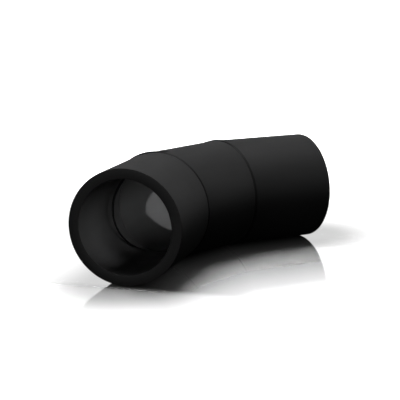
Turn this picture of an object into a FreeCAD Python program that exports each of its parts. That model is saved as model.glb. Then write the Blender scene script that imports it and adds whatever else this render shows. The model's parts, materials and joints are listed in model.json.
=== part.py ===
"""A 45 degree elbow for pressure pipe, made of three mitred lengths of thick-walled polyethylene pipe.

The three lengths are butt fused at two mitre joints. Fusion squeezes a double roll of melt out of each joint,
outside the pipe and inside its bore, so each joint carries an outer bead and a lower inner bead.

All sizes are in millimetres. The elbow lies flat on its outer beads. +Z is up, +X is the direction of the flow
in the middle length, and +Y points to the outside of the bend. The origin is on the ground, under the centre
of the elbow's bounding box.
"""

import FreeCAD, Part
import math
import os

from FreeCAD import Vector

# Pipe, to the standard size of 110 mm with a diameter 11 times its wall.
PIPE_DIAMETER = 110.0
WALL = 10.0

# Elbow, with its lengths measured along the centreline.
BEND_ANGLE = 45.0
SPIGOT_LENGTH = 101.0
MIDDLE_LENGTH = 100.0
END_EDGE_BREAK = 0.5

# Fusion beads. A width covers both rolls, and a height is measured from the pipe's surface.
OUTER_BEAD_WIDTH = 6.0
OUTER_BEAD_HEIGHT = 1.0
INNER_BEAD_WIDTH = 5.0
INNER_BEAD_HEIGHT = 0.6

# Rounding of each roll, as shares of its height: at its foot, and where it meets the other roll.
SHOULDER_SHARE = 0.75
NOTCH_SHARE = 0.3

SEGMENTS = (
    ("inlet_segment", SPIGOT_LENGTH),
    ("middle_segment", MIDDLE_LENGTH),
    ("outlet_segment", SPIGOT_LENGTH),
)
MIDDLE = 1
JOINTS = ("inlet_joint", "outlet_joint")

OUTER_RADIUS = PIPE_DIAMETER / 2.0
BORE_RADIUS = OUTER_RADIUS - WALL
TURN = math.radians(BEND_ANGLE) / len(JOINTS)
REACH = 2.0 * (PIPE_DIAMETER + SPIGOT_LENGTH + MIDDLE_LENGTH)
TOLERANCE = 1e-3
UP = Vector(0, 0, 1)


def heading(segment):
    """Direction of the flow in a segment, counted from the inlet."""
    angle = (MIDDLE - segment) * TURN
    return Vector(math.cos(angle), math.sin(angle), 0)


def middle_centre():
    """Centre of the middle segment, placed so that the elbow's box is centred over the origin."""
    outside_of_bend = OUTER_RADIUS + OUTER_BEAD_HEIGHT
    inside_of_bend = (SPIGOT_LENGTH - END_EDGE_BREAK) * math.sin(TURN) + OUTER_RADIUS * math.cos(TURN)
    return Vector(0, (inside_of_bend - outside_of_bend) / 2, outside_of_bend)


def centreline():
    """Points of the centreline: the inlet's face, each mitre and the outlet's face."""
    points = [Vector(0, 0, 0)]
    for segment, (_, length) in enumerate(SEGMENTS):
        points.append(points[-1] + heading(segment) * length)
    centre = (points[MIDDLE] + points[MIDDLE + 1]) * 0.5
    return [point - centre + middle_centre() for point in points]


def mitre_normal(joint):
    """Normal of a joint's mitre plane, which halves the turn and points along the flow."""
    return (heading(joint) + heading(joint + 1)).normalize()


def half_space(point, normal):
    """Block with one face on the plane through point, filling the side that normal points to."""
    block = Part.makeBox(REACH, REACH, REACH, Vector(-REACH / 2, -REACH / 2, 0))
    block.Placement = FreeCAD.Placement(point, FreeCAD.Rotation(UP, normal))
    return block


def sleeve(point, along, inner_radius, outer_radius):
    """Long round sleeve about the line through point, reaching well past the elbow both ways."""
    start = point - along * (REACH / 2)
    outside = Part.makeCylinder(outer_radius, REACH, start, along)
    return outside.cut(Part.makeCylinder(inner_radius, REACH, start, along))


def edges_on_plane(shape, point, normal):
    """Edges of a shape that lie in the plane through point."""
    found = []
    for edge in shape.Edges:
        samples = [edge.valueAt(p) for p in (edge.FirstParameter, sum(edge.ParameterRange) / 2)]
        if all(abs((sample - point).dot(normal)) < TOLERANCE for sample in samples):
            found.append(edge)
    return found


def edges_on_sleeve(edges, point, along, radius):
    """Those of the edges that run round the sleeve of this radius about the line through point."""
    found = []
    for edge in edges:
        distances = [(edge.valueAt(p) - point).cross(along).Length for p in edge.ParameterRange]
        if all(abs(distance - radius) < TOLERANCE for distance in distances):
            found.append(edge)
    return found


def pipe_segment(segment, points):
    """One length of pipe, square at a free end and mitred where it meets the next length."""
    along = heading(segment)
    start, end = points[segment], points[segment + 1]
    starts_free, ends_free = segment == 0, segment == len(SEGMENTS) - 1
    start_normal = along if starts_free else mitre_normal(segment - 1)
    end_normal = along if ends_free else mitre_normal(segment)
    pipe = sleeve(start, along, BORE_RADIUS, OUTER_RADIUS)
    pipe = pipe.cut(half_space(start, start_normal * -1))
    pipe = pipe.cut(half_space(end, end_normal))
    for point in [start] * starts_free + [end] * ends_free:
        pipe = pipe.makeChamfer(END_EDGE_BREAK, edges_on_plane(pipe, point, along))
    return pipe.Solids[0]


def bead_roll(joint, side, point, width, height, pipe_radius):
    """One roll of a bead, on the pipe before the joint (side -1) or after it (side 1).

    It reaches from the mitre plane to its foot, half the bead's width away. A negative height is into the bore.
    """
    along = heading(joint if side < 0 else joint + 1)
    away = mitre_normal(joint) * side
    foot = point + away * (width / 2)
    crest_radius = pipe_radius + height
    roll = sleeve(point, along, min(pipe_radius, crest_radius), max(pipe_radius, crest_radius))
    roll = roll.cut(half_space(point, away * -1)).cut(half_space(foot, away))
    for plane_point, share in ((foot, SHOULDER_SHARE), (point, NOTCH_SHARE)):
        rims = edges_on_plane(roll, plane_point, away)
        crest = edges_on_sleeve(rims, point, along, crest_radius)
        roll = roll.makeFillet(abs(height) * share, crest)
    return roll.Solids[0]


def bead(joint, point, width, height, pipe_radius):
    """One bead: its two rolls, which meet face to face on the mitre plane."""
    rolls = [bead_roll(joint, side, point, width, height, pipe_radius) for side in (-1, 1)]
    return Part.makeCompound(rolls)


def build():
    """Every node of the elbow, by name."""
    points = centreline()
    nodes = {name: pipe_segment(segment, points) for segment, (name, _) in enumerate(SEGMENTS)}
    for joint, name in enumerate(JOINTS):
        at = points[joint + 1]
        nodes[name + "_outer_bead"] = bead(joint, at, OUTER_BEAD_WIDTH, OUTER_BEAD_HEIGHT, OUTER_RADIUS)
        nodes[name + "_inner_bead"] = bead(joint, at, INNER_BEAD_WIDTH, -INNER_BEAD_HEIGHT, BORE_RADIUS)
    return nodes


os.makedirs("parts", exist_ok=True)
for node, shape in build().items():
    shape.exportStep(os.path.join("parts", node + ".step"))
    box = shape.BoundBox
    print(node, "valid" if shape.isValid() else "invalid", round(shape.Volume), "mm3,",
          "z from", round(box.ZMin, 3), "to", round(box.ZMax, 3))
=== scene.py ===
"""Looks of a segmented polyethylene pipe elbow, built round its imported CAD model.

Three straight lengths of black pressure pipe are butt fused at two mitre joints, and lie on a glossy white
floor. All sizes are in metres, in the row frame: +X along the middle length, +Y to the outside of the bend.
"""

import json
import logging
import math
from dataclasses import dataclass
from enum import Enum
from typing import Any, Iterable, Union

import bmesh
import bpy
from mathutils import Matrix, Vector, noise


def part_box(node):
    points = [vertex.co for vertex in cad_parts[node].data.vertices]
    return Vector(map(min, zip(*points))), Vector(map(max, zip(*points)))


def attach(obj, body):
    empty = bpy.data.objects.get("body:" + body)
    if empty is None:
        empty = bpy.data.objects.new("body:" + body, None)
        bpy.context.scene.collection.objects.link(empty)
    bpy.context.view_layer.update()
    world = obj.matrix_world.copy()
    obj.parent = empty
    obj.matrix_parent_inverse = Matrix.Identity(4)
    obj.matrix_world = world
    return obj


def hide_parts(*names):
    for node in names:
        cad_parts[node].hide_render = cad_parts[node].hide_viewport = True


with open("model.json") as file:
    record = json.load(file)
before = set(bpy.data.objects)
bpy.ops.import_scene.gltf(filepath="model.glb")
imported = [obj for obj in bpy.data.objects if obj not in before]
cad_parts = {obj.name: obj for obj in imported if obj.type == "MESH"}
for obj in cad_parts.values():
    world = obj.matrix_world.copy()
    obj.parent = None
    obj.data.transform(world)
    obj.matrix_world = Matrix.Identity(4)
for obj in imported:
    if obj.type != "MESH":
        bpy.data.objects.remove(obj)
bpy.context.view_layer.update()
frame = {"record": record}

LOG = logging.getLogger("elbow")
NEAR = 1e-6
WHITE = (1.0, 1.0, 1.0, 1.0)
BLACK = (0.0, 0.0, 0.0, 1.0)


class Surface(Enum):
    """Which wall of the pipe a fusion bead stands on."""

    OUTSIDE = "outer"
    BORE = "inner"


class End(Enum):
    """Which free end of the elbow a pipe length has, if any. The value is the sign of X at that end."""

    INLET = -1
    NONE = 0
    OUTLET = 1


# ---------------------------------------------------------------------------------------------------------
# Shader nodes
# ---------------------------------------------------------------------------------------------------------


class Nodes:
    """The node tree of one material or world."""

    def __init__(self, tree: bpy.types.NodeTree) -> None:
        """Empties the tree.

        Args:
            tree: The node tree to build in.
        """
        self.tree = tree
        tree.nodes.clear()

    def make(self, kind: str, settings: dict[str, Any], inputs: dict[Union[int, str], Any]) -> bpy.types.Node:
        """Makes one node, with its settings first and its inputs after them.

        Args:
            kind: The node's type, as Blender names it.
            settings: The node's own properties.
            inputs: A plain value, a Value or a node's socket for each input that isn't left at its default.

        Returns:
            The new node.
        """
        node = self.tree.nodes.new(kind)
        for name, value in settings.items():
            setattr(node, name, value)
        for name, value in inputs.items():
            source = value.socket if isinstance(value, Value) else value
            if isinstance(source, bpy.types.NodeSocket):
                self.tree.links.new(source, node.inputs[name])
            else:
                node.inputs[name].default_value = source
        return node

    def value(self, kind: str, settings: dict[str, Any], inputs: dict[Union[int, str], Any],
              output: Union[int, str] = 0) -> "Value":
        """Makes one node and wraps one of its outputs.

        Args:
            kind: The node's type.
            settings: The node's own properties.
            inputs: The node's inputs.
            output: The output to wrap.

        Returns:
            The wrapped output.
        """
        return Value(self, self.make(kind, settings, inputs).outputs[output])

    def position(self) -> "Value":
        """Returns the shaded point's place in the row frame."""
        return self.value("ShaderNodeTexCoord", {}, {}, "Object")

    def placed(self, place: Matrix) -> "Value":
        """Gives the shaded point in a piece's own frame.

        Args:
            place: The piece's place in the row frame, without scale.

        Returns:
            The point as the piece sees it.
        """
        inverse = place.inverted()
        return self.value("ShaderNodeMapping", {"vector_type": "POINT"}, {
            "Vector": self.position(),
            "Location": inverse.to_translation(),
            "Rotation": inverse.to_euler("XYZ"),
        })

    def stretched(self, vector: "Value", factors: tuple[float, float, float]) -> "Value":
        """Scales a vector along its own axes.

        Args:
            vector: The vector.
            factors: One factor for each axis.

        Returns:
            The scaled vector.
        """
        return self.value("ShaderNodeVectorMath", {"operation": "MULTIPLY"}, {0: vector, 1: factors})

    def noise(self, vector: "Value", detail: float = 3.0, roughness: float = 0.55) -> "Value":
        """Smooth noise that averages a half, with features about one unit across.

        Args:
            vector: Where to read the noise.
            detail: Octaves.
            roughness: Weight of each finer octave.

        Returns:
            The noise.
        """
        return self.value("ShaderNodeTexNoise", {"noise_dimensions": "3D"}, {
            "Vector": vector, "Scale": 1.0, "Detail": detail, "Roughness": roughness,
        })

    def blend(self, factor: "Value", low: "Value | tuple", high: "Value | tuple") -> "Value":
        """Mixes two colours.

        Args:
            factor: 0 for low and 1 for high.
            low: The first colour.
            high: The second colour.

        Returns:
            The mixed colour.
        """
        settings = {"data_type": "RGBA", "clamp_factor": True}
        node = self.make("ShaderNodeMix", settings, {0: factor, 6: low, 7: high})
        return Value(self, node.outputs[2])


class Value:
    """A shader number that Python's own operators work on."""

    def __init__(self, nodes: Nodes, socket: bpy.types.NodeSocket) -> None:
        """Wraps a socket.

        Args:
            nodes: The tree that the socket is in.
            socket: The output to wrap.
        """
        self.nodes = nodes
        self.socket = socket

    def maths(self, operation: str, *operands: "Value | float") -> "Value":
        """Adds one Math node.

        Args:
            operation: The node's operation.
            operands: All of its inputs, in order.

        Returns:
            The result.
        """
        return self.nodes.value("ShaderNodeMath", {"operation": operation}, dict(enumerate(operands)))

    def __add__(self, other: "Value | float") -> "Value":
        """Returns self + other."""
        return self.maths("ADD", self, other)

    def __radd__(self, other: float) -> "Value":
        """Returns other + self."""
        return self.maths("ADD", other, self)

    def __sub__(self, other: "Value | float") -> "Value":
        """Returns self - other."""
        return self.maths("SUBTRACT", self, other)

    def __rsub__(self, other: float) -> "Value":
        """Returns other - self."""
        return self.maths("SUBTRACT", other, self)

    def __mul__(self, other: "Value | float") -> "Value":
        """Returns self * other."""
        return self.maths("MULTIPLY", self, other)

    def __rmul__(self, other: float) -> "Value":
        """Returns other * self."""
        return self.maths("MULTIPLY", other, self)

    def __pow__(self, other: float) -> "Value":
        """Returns self to the power of other."""
        return self.maths("POWER", self, other)

    def __abs__(self) -> "Value":
        """Returns the value without its sign."""
        return self.maths("ABSOLUTE", self)

    def at_least(self, other: "Value | float") -> "Value":
        """Returns the larger of the two."""
        return self.maths("MAXIMUM", self, other)

    def at_most(self, other: "Value | float") -> "Value":
        """Returns the smaller of the two."""
        return self.maths("MINIMUM", self, other)

    def rise(self, start: float, end: float) -> "Value":
        """Maps the value smoothly to 0 at start and 1 at end.

        Args:
            start: Where the result is 0.
            end: Where the result is 1.

        Returns:
            A number from 0 to 1.
        """
        return self.nodes.value("ShaderNodeMapRange", {"interpolation_type": "SMOOTHSTEP"}, {
            "Value": self, "From Min": start, "From Max": end,
        })

    def axes(self) -> tuple["Value", "Value", "Value"]:
        """Returns the vector's three parts."""
        outputs = self.nodes.make("ShaderNodeSeparateXYZ", {}, {0: self}).outputs
        return tuple(Value(self.nodes, socket) for socket in outputs)


# ---------------------------------------------------------------------------------------------------------
# Finishes
# ---------------------------------------------------------------------------------------------------------


@dataclass(frozen=True)
class Polyethylene:
    """Black pipe-grade polyethylene, coloured through with carbon black.

    Attributes:
        black: Colour of the clean surface.
        scuffed: Colour where handling has scratched it grey.
        gloss: Specular level.
        roughness: Mean roughness.
        mottle: The darkest and lightest shares of the clean colour.
    """

    black: tuple = (0.0198, 0.0198, 0.0202, 1.0)
    scuffed: tuple = (0.0420, 0.0420, 0.0430, 1.0)
    gloss: float = 0.20
    roughness: float = 0.55
    mottle: tuple = (0.90, 1.12)

    def relief(self, nodes: Nodes, place: "Value") -> tuple[Value, float]:
        """Fine relief of the surface, overridden by each way of making it.

        Args:
            nodes: The material's tree.
            place: The shaded point in the piece's own frame.

        Returns:
            The height from 0 to 1, and what that height is worth in metres.
        """
        return nodes.noise(nodes.stretched(place, (900.0, 900.0, 900.0))), 0.000006

    def painted_shade(self, nodes: Nodes, place: "Value") -> "Value | None":
        """Returns how much painted shade darkens the surface, from 0 to 1, or None where no shade is painted.
        """
        return None

    def sheen(self, nodes: Nodes, place: "Value") -> Value:
        """Returns the change of roughness over the surface, about zero."""
        cloudy = nodes.noise(nodes.stretched(place, (22.0, 22.0, 22.0)), 4.0)
        return (cloudy - 0.5) * 0.22

    def scuffs(self, nodes: Nodes, place: "Value") -> Value:
        """Returns how scuffed the surface is, from 0 to 1."""
        where = nodes.noise(nodes.stretched(place, (17.0, 17.0, 17.0)), 2.0).rise(0.52, 0.72)
        lines = nodes.noise(nodes.stretched(place, (60.0, 60.0, 1500.0)), 2.0).rise(0.60, 0.74)
        return where * lines * 0.5

    def material(self, name: str, place: Matrix) -> bpy.types.Material:
        """Makes the finish for one piece.

        Args:
            name: The material's name.
            place: The piece's place in the row frame.

        Returns:
            The material.
        """
        made = bpy.data.materials.new(name)
        made.use_nodes = True
        nodes = Nodes(made.node_tree)
        here = nodes.placed(place)
        scuffs = self.scuffs(nodes, here)
        tone = nodes.noise(nodes.stretched(here, (45.0, 45.0, 9.0)), 3.0).rise(0.25, 0.75)
        darkest, lightest = (tuple(share * part for part in self.black) for share in self.mottle)
        clean = nodes.blend(tone, darkest, lightest)
        colour = nodes.blend(scuffs, clean, self.scuffed)
        # Painted shade: where a finish paints it, the colour is blended towards black.
        painted_shade = self.painted_shade(nodes, here)
        if painted_shade is not None:
            colour = nodes.blend(painted_shade, colour, BLACK)
        height, depth = self.relief(nodes, here)
        bump_inputs = {"Strength": 1.0, "Distance": depth, "Height": height}
        bump = nodes.value("ShaderNodeBump", {}, bump_inputs, "Normal")
        shader = nodes.value("ShaderNodeBsdfPrincipled", {}, {
            "Base Color": colour,
            "Roughness": self.roughness + self.sheen(nodes, here) + scuffs * 0.2,
            "Specular IOR Level": self.gloss,
            "Normal": bump,
        })
        nodes.make("ShaderNodeOutputMaterial", {}, {"Surface": shader})
        return made


@dataclass(frozen=True)
class ExtrudedSkin(Polyethylene):
    """Skin of the pipe as it leaves the die, with faint lines drawn along it."""

    def relief(self, nodes: Nodes, place: "Value") -> tuple[Value, float]:
        """Returns die lines along the pipe over a faint long ripple."""
        broad = nodes.noise(nodes.stretched(place, (260.0, 260.0, 2.5)), 2.0)
        fine = nodes.noise(nodes.stretched(place, (1600.0, 1600.0, 7.0)), 2.0)
        grain = nodes.noise(nodes.stretched(place, (2200.0, 2200.0, 2200.0)), 2.0)
        return broad * 0.55 + fine * 0.30 + grain * 0.15, 0.000030


@dataclass(frozen=True)
class SawnFace(Polyethylene):
    """Square end of the pipe, sawn and then planed, with the cutter's arcs left on it."""

    def relief(self, nodes: Nodes, place: "Value") -> tuple[Value, float]:
        """Returns close arcs about a point well outside the pipe, with a little chatter."""
        across, up, _ = place.axes()
        swing = ((across - 0.21) ** 2.0 + (up + 0.05) ** 2.0) ** 0.5
        chatter = nodes.noise(nodes.stretched(place, (70.0, 70.0, 0.0)), 2.0)
        arcs = nodes.value("ShaderNodeMath", {"operation": "SINE"}, {0: swing * 5200.0 + chatter * 5.0})
        grain = nodes.noise(nodes.stretched(place, (1400.0, 1400.0, 0.0)), 2.0)
        return arcs * 0.25 + grain * 0.75, 0.000018

    def scuffs(self, nodes: Nodes, place: "Value") -> Value:
        """Returns a few light nicks."""
        return nodes.noise(nodes.stretched(place, (300.0, 300.0, 300.0)), 2.0).rise(0.66, 0.80) * 0.35


@dataclass(frozen=True)
class MeltSkin(Polyethylene):
    """Skin of a fusion bead, which froze from the melt, darkened with painted shade that stands in for the
    shaded line at the joint.

    Attributes:
        painted_shade_depth: How much darker the painted shade makes it.
    """

    gloss: float = 0.10
    painted_shade_depth: float = 0.45

    def relief(self, nodes: Nodes, place: "Value") -> tuple[Value, float]:
        """Returns soft pits and swirls."""
        return nodes.noise(nodes.stretched(place, (480.0, 480.0, 480.0)), 3.0), 0.000030

    def painted_shade(self, nodes: Nodes, place: "Value") -> Value:
        """Returns the painted shade over the rolls, a little patchy, from 0 to 1."""
        patchy = nodes.noise(nodes.stretched(place, (90.0, 90.0, 90.0)), 2.0)
        return (0.85 + patchy * 0.3) * self.painted_shade_depth


# ---------------------------------------------------------------------------------------------------------
# The elbow's plan, read from the frame
# ---------------------------------------------------------------------------------------------------------


@dataclass(frozen=True)
class ElbowPlan:
    """Sizes and centreline of the elbow.

    Attributes:
        outer_radius: Outside radius of the pipe.
        bore_radius: Radius of its bore.
        turn: Turn at each mitre joint, in radians.
        points: The centreline from the inlet's face to the outlet's face, with the two joints between.
    """

    outer_radius: float
    bore_radius: float
    turn: float
    points: tuple[Vector, ...]

    @classmethod
    def from_frame(cls) -> "ElbowPlan":
        """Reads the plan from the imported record's mounts and the middle length's box."""
        mounts = {mount["name"]: mount for mount in frame["record"]["mounts"]}
        inlet, outlet = (mounts[name + "_spigot"] for name in ("inlet", "outlet"))
        faces = [Vector(mount["pos_m"]) for mount in (inlet, outlet)]
        outward = Vector(inlet["axis"])
        outer_radius = inlet["dims"]["r_mm"] / 1000
        wall_middle = (Vector(mounts["inlet_weld_face"]["pos_m"]) - faces[0]).length
        turn = math.atan2(-outward.y, -outward.x)
        half_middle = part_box("middle_segment")[1].x - outer_radius * math.tan(turn / 2)
        joint = faces[0] - outward * ((-half_middle - faces[0].x) / -outward.x)
        other_joint = Vector((-joint.x, joint.y, joint.z))
        bore_radius = 2 * wall_middle - outer_radius
        return cls(outer_radius, bore_radius, turn, (faces[0], joint, other_joint, faces[1]))

    def heading(self, length: int) -> Vector:
        """Returns the direction of the flow in one length, counted from the inlet."""
        return (self.points[length + 1] - self.points[length]).normalized()

    def place(self, point: int, length: int) -> Matrix:
        """Frame of one length of pipe, at one point of the centreline.

        Args:
            point: The point that is the frame's origin.
            length: The length whose axis is the frame's Z, along the flow.

        Returns:
            The frame: X to the outside of the bend, Y up and Z along the flow.
        """
        along = self.heading(length)
        outside = Vector((-along.y, along.x, 0.0))
        turned = Matrix((outside, outside.cross(along) * -1.0, along)).transposed()
        return Matrix.Translation(self.points[point]) @ turned.to_4x4()

    @property
    def mitre_slope(self) -> float:
        """Returns how far a mitre plane leans along the axis, per unit to the outside of the bend."""
        return math.tan(self.turn / 2)


# ---------------------------------------------------------------------------------------------------------
# Mesh work that the pieces share
# ---------------------------------------------------------------------------------------------------------


def spun_section(corners: Iterable[tuple[float, float]], steps: int) -> bmesh.types.BMesh:
    """Spins a closed section once round Z.

    Args:
        corners: Radius and height of each corner, in order round the section.
        steps: Faces round the ring.

    Returns:
        The ring, as a new bmesh.
    """
    ring = bmesh.new()
    verts = [ring.verts.new((radius, 0.0, height)) for radius, height in corners]
    edges = [ring.edges.new(pair) for pair in zip(verts, verts[1:] + verts[:1])]
    bmesh.ops.spin(ring, geom=verts + edges, cent=(0, 0, 0), axis=(0, 0, 1), angle=math.tau, steps=steps,
                   use_merge=True)
    bmesh.ops.recalc_face_normals(ring, faces=ring.faces)
    return ring


def radius_of(vert: bmesh.types.BMVert) -> float:
    """Returns a vertex's distance from Z."""
    return math.hypot(vert.co.x, vert.co.y)


def ring_edges(mesh: bmesh.types.BMesh, radius: float, height: float) -> list[bmesh.types.BMEdge]:
    """Edges that run round Z at one radius and height.

    Args:
        mesh: The mesh.
        radius: Their radius.
        height: Their height.

    Returns:
        The edges.
    """
    on_ring = {v for v in mesh.verts if abs(radius_of(v) - radius) < NEAR and abs(v.co.z - height) < NEAR}
    return [edge for edge in mesh.edges if on_ring.issuperset(edge.verts)]


def lean(mesh: bmesh.types.BMesh, verts: Iterable[bmesh.types.BMVert], slope: float) -> None:
    """Slides vertices along Z in proportion to their X, so that a square cut becomes a mitre.

    Args:
        mesh: The mesh.
        verts: The vertices to slide.
        slope: Slide along Z per unit of X.
    """
    shear = Matrix.Identity(4)
    shear[2][0] = slope
    bmesh.ops.transform(mesh, matrix=shear, verts=list(verts))


def finished(mesh: bmesh.types.BMesh, name: str, place: Matrix, materials: list[bpy.types.Material],
             corner: float = math.radians(28)) -> bpy.types.Object:
    """Turns a bmesh into an object with its place in its mesh.

    Args:
        mesh: The mesh, in the piece's own frame. It is freed.
        name: The object's name.
        place: The piece's place in the row frame.
        materials: The object's materials, in the order of the faces' material indices.
        corner: Angle past which an edge shows as a corner.

    Returns:
        The object.
    """
    for face in mesh.faces:
        face.smooth = True
    data = bpy.data.meshes.new(name)
    mesh.to_mesh(data)
    mesh.free()
    data.transform(place)
    data.set_sharp_from_angle(angle=corner)
    for material in materials:
        data.materials.append(material)
    made = bpy.data.objects.new(name, data)
    bpy.context.scene.collection.objects.link(made)
    return made


def hand_over(piece: bpy.types.Object, node: str) -> None:
    """Puts a finished piece in the place of its CAD node and reports it.

    Args:
        piece: The piece.
        node: The CAD node it stands for.
    """
    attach(piece, "root")
    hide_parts(node)
    LOG.info("%s stands for %s with %d faces", piece.name, node, len(piece.data.polygons))


# ---------------------------------------------------------------------------------------------------------
# Sub-assemblies
# ---------------------------------------------------------------------------------------------------------


@dataclass
class PipeLength:
    """One straight length of pipe, sawn square at a free end and mitred at each joint.

    Attributes:
        plan: The elbow's plan.
        index: Which length it is, counted from the inlet.
        node: The CAD node it stands for.
        free_end: The end that is square, if any.
        steps: Faces round the pipe.
        rings: Cuts along each wall, which keep its faces short.
        edge_break: Width of the broken edge at the square end.
    """

    plan: ElbowPlan
    index: int
    node: str
    free_end: End
    steps: int = 256
    rings: int = 24
    edge_break: float = 0.0005

    @property
    def place(self) -> Matrix:
        """Returns the length's own frame, at the start of its flow."""
        return self.plan.place(self.index, self.index)

    @property
    def span(self) -> float:
        """Returns the length along the centreline."""
        return (self.plan.points[self.index + 1] - self.plan.points[self.index]).length

    def tube(self) -> bmesh.types.BMesh:
        """Builds the pipe in its own frame: a spun wall, with mitres and broken edges."""
        outer, bore, span = self.plan.outer_radius, self.plan.bore_radius, self.span
        tube = spun_section([(outer, 0.0), (outer, span), (bore, span), (bore, 0.0)], self.steps)
        square_at = {End.INLET: 0.0, End.OUTLET: span, End.NONE: None}[self.free_end]
        for height, slope in ((0.0, -self.plan.mitre_slope), (span, self.plan.mitre_slope)):
            if height == square_at:
                edges = ring_edges(tube, outer, height) + ring_edges(tube, bore, height)
                bmesh.ops.bevel(tube, geom=edges, offset=self.edge_break, offset_type="OFFSET",
                                affect="EDGES", segments=3, profile=0.5, material=-1)
            else:
                lean(tube, [v for v in tube.verts if abs(v.co.z - height) < NEAR], slope)
        long_edges = [edge for edge in tube.edges if edge.calc_length() > self.span / 2]
        bmesh.ops.subdivide_edges(tube, edges=long_edges, cuts=self.rings, use_grid_fill=True)
        self.mark_square_end(tube, square_at)
        return tube

    def mark_square_end(self, tube: bmesh.types.BMesh, height: "float | None") -> None:
        """Gives the sawn face its own material.

        Args:
            tube: The pipe's mesh.
            height: Where the sawn face is, or None.
        """
        tube.normal_update()
        for face in tube.faces:
            if height is not None and abs(face.calc_center_median().z - height) < NEAR:
                face.material_index = 1

    def build(self) -> bpy.types.Object:
        """Makes, dresses and hands over the pipe length."""
        skin = ExtrudedSkin().material(self.node + "_skin", self.place)
        sawn = SawnFace().material(self.node + "_sawn_face", self.place)
        piece = finished(self.tube(), self.node + "_pipe", self.place, [skin, sawn])
        hand_over(piece, self.node)
        return piece


@dataclass
class FusionBead:
    """The double roll of melt round one mitre joint, on the outside or in the bore.

    Attributes:
        plan: The elbow's plan.
        joint: Which joint, 1 or 2, counted along the centreline's points.
        node: The CAD node it stands for.
        surface: The wall that the bead stands on.
        width: Width over both rolls.
        height: Height over the wall.
        root: Depth to which the melt is bonded into the wall.
        buried: Width of each roll's foot that lies under the wall's surface.
        roundness: Rounding of each roll's outer shoulder, as a share of its height over its root.
        crease: Rounding of each roll beside the mitre plane, as a share of its height.
        steps: Faces round the bead.
    """

    plan: ElbowPlan
    joint: int
    node: str
    surface: Surface
    width: float
    height: float
    root: float = 0.0020
    buried: float = 0.0005
    roundness: float = 0.90
    crease: float = 0.30
    steps: int = 320

    @property
    def wall_radius(self) -> float:
        """Returns the radius of the wall that the bead stands on."""
        return self.plan.outer_radius if self.surface is Surface.OUTSIDE else self.plan.bore_radius

    @property
    def outward(self) -> float:
        """Returns 1 where the bead stands away from the axis, and -1 where it stands towards it."""
        return 1.0 if self.surface is Surface.OUTSIDE else -1.0

    def roll(self) -> bmesh.types.BMesh:
        """Builds the roll on the pipe before the joint, which ends on the mitre plane at a height of zero."""
        foot = -self.width / 2 - self.buried
        crest = self.wall_radius + self.outward * self.height
        bottom = self.wall_radius - self.outward * self.root
        shoulder = (self.height + self.root) * self.roundness
        roll = spun_section([(crest, 0.0), (crest, foot), (bottom, foot), (bottom, 0.0)], self.steps)
        for height, offset, segments in ((foot, shoulder, 8), (0.0, self.height * self.crease, 3)):
            bmesh.ops.bevel(roll, geom=ring_edges(roll, crest, height), offset=offset,
                            offset_type="OFFSET", affect="EDGES", segments=segments, profile=0.5, material=-1)
        on_plane = [face for face in roll.faces if abs(face.calc_center_median().z) < 1e-7]
        bmesh.ops.delete(roll, geom=on_plane, context="FACES_ONLY")
        return roll

    def both_rolls(self) -> bmesh.types.BMesh:
        """Mirrors the leaning roll to make the second one.

        The rolls are meant to close on each other in the mitre plane, and they don't: the operator takes its
        matrix the other way round, so its plane leans against the mitre and the two rolls cross.

        Returns:
            Both rolls.
        """
        rolls = self.roll()
        lean(rolls, rolls.verts, self.plan.mitre_slope)
        leaning = Matrix.Rotation(-self.plan.turn / 2, 4, "Y")
        bmesh.ops.mirror(rolls, geom=rolls.verts[:] + rolls.edges[:] + rolls.faces[:], matrix=leaning,
                         merge_dist=1e-7, axis="Z")
        bmesh.ops.remove_doubles(rolls, verts=rolls.verts, dist=1e-7)
        bmesh.ops.recalc_face_normals(rolls, faces=rolls.faces)
        return rolls

    def unevenness(self, mesh: bmesh.types.BMesh) -> None:
        """Lets the crest sink a little here and there, as a hand-set fusion leaves it.

        Args:
            mesh: The bead, in its own frame.
        """
        for vert in mesh.verts:
            spread = noise.noise(vert.co * 38.0 + Vector((self.joint * 7.0, 0.0, 0.0)))
            ripple = noise.noise(vert.co * 160.0 + Vector((0.0, self.joint * 5.0, 0.0)))
            out = Vector((vert.co.x, vert.co.y, 0.0)).normalized() * self.outward
            risen = (radius_of(vert) - self.wall_radius) * self.outward / self.height
            if risen > 0.3:
                vert.co -= out * self.height * (0.07 + 0.06 * spread + 0.03 * ripple) * risen

    def build(self) -> bpy.types.Object:
        """Makes, dresses and hands over the bead."""
        place = self.plan.place(self.joint, self.joint - 1)
        mesh = self.both_rolls()
        self.unevenness(mesh)
        # Outer beads get the melt skin with painted shade. Inner beads get it without shade, with the wall's
        # gloss.
        painted_shade_skin = MeltSkin()
        clean = MeltSkin(gloss=Polyethylene.gloss, painted_shade_depth=0.0)
        skin = (painted_shade_skin if self.surface is Surface.OUTSIDE else clean).material(self.node + "_melt", place)
        piece = finished(mesh, self.node + "_rolls", place, [skin], math.radians(50))
        hand_over(piece, self.node)
        return piece


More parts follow.
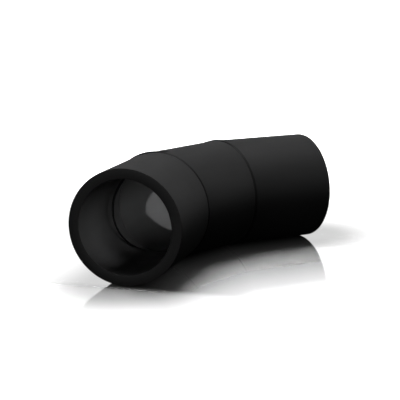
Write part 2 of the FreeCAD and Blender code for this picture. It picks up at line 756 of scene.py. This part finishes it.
@dataclass
class Elbow:
    """The whole elbow: three lengths of pipe and the beads of two joints.

    Attributes:
        plan: The elbow's plan.
        outer_bead_width: Width of an outer bead over both rolls.
        inner_bead_width: Width of an inner bead over both rolls.
        inner_bead_height: Height of an inner bead over the bore's wall.
    """

    plan: ElbowPlan
    outer_bead_width: float = 0.0060
    inner_bead_width: float = 0.0050
    inner_bead_height: float = 0.0006

    def bead_height(self, node: str, surface: Surface) -> float:
        """Gives how far a bead stands off its wall.

        Args:
            node: The bead's CAD node.
            surface: The wall that it stands on.

        Returns:
            The height. The box of an outer bead's node gives it, and an inner bead's box shows only its wall.
        """
        if surface is Surface.BORE:
            return self.inner_bead_height
        low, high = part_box(node)
        return (high.z - low.z) / 2 - self.plan.outer_radius

    def build(self) -> list[bpy.types.Object]:
        """Builds every piece, in the order of assembly."""
        ends = ((0, "inlet", End.INLET), (1, "middle", End.NONE), (2, "outlet", End.OUTLET))
        made = [PipeLength(self.plan, index, name + "_segment", end).build() for index, name, end in ends]
        widths = ((Surface.OUTSIDE, self.outer_bead_width), (Surface.BORE, self.inner_bead_width))
        for joint, name in ((1, "inlet_joint"), (2, "outlet_joint")):
            for surface, width in widths:
                node = f"{name}_{surface.value}_bead"
                height = self.bead_height(node, surface)
                made.append(FusionBead(self.plan, joint, node, surface, width, height).build())
        return made


# ---------------------------------------------------------------------------------------------------------
# Studio
# ---------------------------------------------------------------------------------------------------------


@dataclass
class Lamp:
    """One soft lamp that the camera doesn't see.

    Attributes:
        name: Its name.
        place: Where it stands.
        aim: What it points at.
        size: Its width and height.
        power: Its power in watts.
        spread: Angle of its beam in degrees.
        shape: Its outline, as Blender names it.
    """

    name: str
    place: Vector
    aim: Vector
    size: tuple[float, float]
    power: float
    spread: float = 180.0
    shape: str = "RECTANGLE"

    def hang(self) -> bpy.types.Object:
        """Makes the lamp in its place."""
        light = bpy.data.lights.new(self.name, "AREA")
        light.shape = self.shape
        light.size, light.size_y = self.size
        light.energy = self.power
        light.spread = math.radians(self.spread)
        made = bpy.data.objects.new(self.name, light)
        turn = (self.place - self.aim).to_track_quat("Z", "Y").to_matrix().to_4x4()
        made.matrix_world = Matrix.Translation(self.place) @ turn
        made.visible_camera = False
        bpy.context.scene.collection.objects.link(made)
        return made


@dataclass
class Studio:
    """Glossy white floor, soft lamps overhead, white surroundings and the camera.

    Attributes:
        plan: The elbow's plan, which the floor's polish and the bore's light follow.
        floor_size: Side of the floor.
        floor_white: How white the matt floor is.
        floor_glow: Light that the matt floor gives off by itself near the elbow.
        far_glow: The same far from the elbow, where the floor is pure white.
        near_reach: Distances from the centre between which the floor changes from near to far.
        polish: Roughness of the floor's mirror image.
        polish_height: Height on the elbow at which its mirror image would fade out evenly.
        mirror_end: Heights on the elbow between which the rest of its mirror image fades out.
        inlet_fade: Height on the inlet's face at which its mirror image has faded out.
        inlet_edge: Heights about the inlet's foot over which its mirror image weakens.
        inlet_loss: How much the mirror image weakens there.
        contact_shade: Depth of the painted shadow where the elbow stands.
        shade_reach: Distances from the line under the elbow between which the painted shadow fades out.
        sky: Brightness of the surroundings above the horizon, as glossy surfaces see them.
        screen: Power of the white screen that the floor mirrors, in watts.
        beam_bearing: Direction in which the bore's beam lies from the outlet, from +X towards +Y, in degrees.
        beam_climb: How far up it lies, in degrees.
        beam_width: Width of the beam.
        beam_power: Its power in watts.
        eye: The camera's place, from the centre of the middle length.
        heading: Direction of its view, turned from +X towards +Y, in degrees.
        dip: How far its view points down, in degrees.
        lens: Focal length in millimetres, on a sensor 36 mm wide.
    """

    plan: ElbowPlan
    floor_size: float = 12.0
    floor_white: float = 0.90
    floor_glow: float = 0.30
    far_glow: float = 1.2
    near_reach: tuple[float, float] = (0.20, 0.50)
    polish: float = 0.05
    polish_height: float = 0.0765
    mirror_end: tuple[float, float] = (0.036, 0.055)
    inlet_fade: float = 0.065
    inlet_edge: tuple[float, float] = (-0.002, 0.004)
    inlet_loss: float = 0.3
    contact_shade: float = 0.42
    shade_reach: tuple[float, float] = (0.035, 0.095)
    sky: float = 0.276
    screen: float = 32.0
    beam_bearing: float = -39.0
    beam_climb: float = 9.0
    beam_width: float = 0.098
    beam_power: float = 0.115
    eye: tuple[float, float, float] = (-0.9458, -0.7734, 0.2368)
    heading: float = 38.84
    dip: float = 10.99
    lens: float = 109.58

    @property
    def eye_point(self) -> Vector:
        """Returns the camera's place in the row frame."""
        return (self.plan.points[1] + self.plan.points[2]) / 2 + Vector(self.eye)

    @staticmethod
    def direction(bearing: float, climb: float) -> Vector:
        """Gives a direction by its angles.

        Args:
            bearing: Turn from +X towards +Y, in degrees.
            climb: Climb above level, in degrees.

        Returns:
            The direction, one unit long.
        """
        bearing, climb = math.radians(bearing), math.radians(climb)
        return Vector((math.cos(bearing) * math.cos(climb), math.sin(bearing) * math.cos(climb),
                       math.sin(climb)))

    def surroundings(self) -> None:
        """Makes the world white to the camera, dim above the horizon to gloss, and dark to all else."""
        world = bpy.data.worlds.new("white_surroundings")
        bpy.context.scene.world = world
        world.use_nodes = True
        nodes = Nodes(world.node_tree)
        _, _, up = nodes.value("ShaderNodeTexCoord", {}, {}, "Generated").axes()
        seen = nodes.value("ShaderNodeLightPath", {}, {}, "Is Camera Ray")
        strength = (up.rise(-0.02, 0.02) * self.sky).at_least(seen * self.far_glow)
        shader = nodes.value("ShaderNodeBackground", {}, {"Color": WHITE, "Strength": strength})
        nodes.make("ShaderNodeOutputWorld", {}, {"Surface": shader})
        world.cycles_visibility.diffuse = False

    def mirrored_height(self, nodes: Nodes, here: Value) -> Value:
        """Height on the elbow that each point of a mirror floor would show to the camera.

        Args:
            nodes: The floor's tree.
            here: The point of the floor.

        Returns:
            The height of the mirrored point above the floor.
        """
        radius, eye = self.plan.outer_radius, self.eye_point
        ends = self.past_plane(nodes, here, self.plan.points[0], -self.plan.heading(0), eye)
        lowest = None
        for length in range(3):
            along = self.plan.heading(length)
            towards_eye = Vector((along.y, -along.x, 0.0))
            near, slope = self.level_view(nodes, here, self.plan.points[length], towards_eye, eye)
            reach = near + slope * radius
            spread = 1.0 + slope * slope
            root = (reach * reach - spread * near * near).at_least(0.0) ** 0.5
            height = slope * (reach - root) * spread ** -1.0
            if length == 0:
                height = height.at_least(ends)
            lowest = height if lowest is None else lowest.at_most(height)
        return lowest

    def level_view(self, nodes: Nodes, here: Value, foot: Vector, outward: Vector,
                   eye: Vector) -> tuple[Value, Value]:
        """Distance of a floor point from an upright plane, and the slope at which its mirrored view climbs.

        Args:
            nodes: The floor's tree.
            here: The point of the floor.
            foot: A point of the plane.
            outward: The plane's level normal, on the camera's side.
            eye: The camera's place.

        Returns:
            The distance, and the climb per unit of way towards the plane.
        """
        dot = {"operation": "DOT_PRODUCT"}
        reading = nodes.value("ShaderNodeVectorMath", dot, {0: here, 1: outward}, "Value")
        near = reading - foot.dot(outward)
        slope = ((eye - foot).dot(outward) - near) ** -1.0 * eye.z
        return near, slope

    def past_plane(self, nodes: Nodes, here: Value, foot: Vector, outward: Vector, eye: Vector) -> Value:
        """Returns the height at which the mirrored view meets an upright plane, below zero behind it."""
        near, slope = self.level_view(nodes, here, foot, outward, eye)
        return near * slope

    def off_centreline(self, nodes: Nodes) -> Value:
        """Returns how far each point of the floor is from the line under the elbow's centreline."""
        nearest = None
        for length in range(3):
            half = (self.plan.points[length + 1] - self.plan.points[length]).length / 2
            across, _, along = nodes.placed(self.plan.place(length, length)).axes()
            past = (abs(along - half) - half).at_least(0.0)
            gap = (past * past + across * across) ** 0.5
            nearest = gap if nearest is None else nearest.at_most(gap)
        return nearest

    def floor(self) -> bpy.types.Object:
        """Makes the floor, which mirrors the foot of what stands on it and is matt elsewhere."""
        mesh = bmesh.new()
        bmesh.ops.create_grid(mesh, x_segments=2, y_segments=2, size=self.floor_size / 2)
        material = bpy.data.materials.new("white_floor")
        material.use_nodes = True
        nodes = Nodes(material.node_tree)
        here = nodes.position()
        # Painted shadow: by distance alone, this darkens the matt colour, the mirror's colour and the glow
        # near the line under the elbow.
        shade = 1.0 - (1.0 - self.off_centreline(nodes).rise(*self.shade_reach)) * self.contact_shade
        matt = nodes.value("ShaderNodeBsdfDiffuse", {}, {"Color": shade * self.floor_white})
        polish = nodes.value("ShaderNodeBsdfGlossy", {}, {"Color": shade, "Roughness": self.polish})
        height = self.mirrored_height(nodes, here)
        share = (1.0 - (height * (1.0 / self.polish_height)).at_least(0.0).at_most(1.0)) * \
            (1.0 - height.rise(*self.mirror_end))
        inlet = self.past_plane(nodes, here, self.plan.points[0], -self.plan.heading(0), self.eye_point)
        share = share * (1.0 - (inlet * (1.0 / self.inlet_fade)).at_least(0.0).at_most(1.0)) * \
            (1.0 - inlet.rise(*self.inlet_edge) * self.inlet_loss)
        distance = nodes.value("ShaderNodeVectorMath", {"operation": "LENGTH"}, {0: here}, "Value")
        away = distance.rise(*self.near_reach)
        strength = (self.floor_glow + away * (self.far_glow - self.floor_glow)) * shade
        glow = nodes.value("ShaderNodeEmission", {}, {"Color": WHITE, "Strength": strength})
        soft = nodes.value("ShaderNodeAddShader", {}, {0: matt, 1: glow})
        shader = nodes.value("ShaderNodeMixShader", {}, {0: share * (1.0 - away), 1: soft, 2: polish})
        nodes.make("ShaderNodeOutputMaterial", {}, {"Surface": shader})
        floor = finished(mesh, "floor", Matrix.Identity(4), [material])
        floor.visible_diffuse = False
        floor.visible_glossy = False
        return floor

    def lamps(self, floor: bpy.types.Object) -> None:
        """Sets every lamp.

        Args:
            floor: The floor, which alone mirrors the white screen behind the elbow.
        """
        inlet, joint, other_joint, outlet = self.plan.points
        centre = (joint + other_joint) / 2
        outside = (self.plan.place(0, 0).col[0].xyz, self.plan.place(1, 1).col[0].xyz)
        Lamp("overhead", Vector((0.0, 0.0, 1.5)), centre, (0.6, 0.6), 19.2).hang()
        Lamp("left_fill", Vector((-1.4, -0.4, 0.15)), centre, (0.5, 0.5), 2.7).hang()
        Lamp("right_fill", Vector((1.4, -0.5, 0.6)), centre, (0.6, 0.6), 0.8).hang()
        Lamp("low_right_fill", Vector((1.4, -0.5, 0.12)), centre, (0.3, 0.3), 0.25).hang()
        low = Vector((0.0, 0.0, -0.02))
        for name, place, way, power in (
            ("bore_fill_mouth", inlet.lerp(joint, 0.3), outside[0], 0.0012),
            ("bore_fill_mouth_low", inlet.lerp(joint, 0.3) + low, outside[0], 0.0060),
            ("bore_fill_joint", inlet.lerp(joint, 0.9) + low, outside[0], 0.0034),
            ("bore_fill_middle", joint.lerp(other_joint, 0.35) - outside[1] * 0.01, outside[1], 0.0075),
        ):
            Lamp(name, place, place + way, (0.030, 0.012), power, 120.0).hang()
        ray = self.direction(self.beam_bearing, self.beam_climb)
        beam_size = (self.beam_width, self.beam_width)
        beam = Lamp("bore_beam", outlet + ray * 0.06, outlet, beam_size, self.beam_power, 1.0, "DISK").hang()
        beam.visible_glossy = False
        away = centre - self.eye_point
        beyond = centre + Vector((away.x, away.y, 0.0)).normalized() * 4.0 + Vector((0.0, 0.0, 1.2))
        screen = Lamp("white_screen", beyond, centre, (4.0, 3.0), self.screen).hang()
        only_floor = bpy.data.collections.new("mirrors_the_screen")
        only_floor.objects.link(floor)
        screen.visible_diffuse = False
        screen.light_linking.receiver_collection = only_floor

    def camera(self) -> bpy.types.Object:
        """Sets the camera."""
        data = bpy.data.cameras.new("camera")
        data.lens = self.lens
        data.sensor_width = 36.0
        made = bpy.data.objects.new("camera", data)
        turn = self.direction(self.heading, -self.dip).to_track_quat("-Z", "Y").to_matrix().to_4x4()
        made.matrix_world = Matrix.Translation(self.eye_point) @ turn
        bpy.context.scene.collection.objects.link(made)
        bpy.context.scene.camera = made
        return made

    def build(self) -> None:
        """Sets up the studio."""
        bpy.context.scene.view_settings.view_transform = "Standard"
        self.surroundings()
        self.lamps(self.floor())
        LOG.info("%s is set, with the floor and lamps", self.camera().name)


def main() -> None:
    """Builds the elbow, then the studio round it."""
    logging.basicConfig(level=logging.INFO, format="%(name)s: %(message)s")
    plan = ElbowPlan.from_frame()
    Elbow(plan).build()
    Studio(plan).build()


if __name__ == "__main__":
    main()
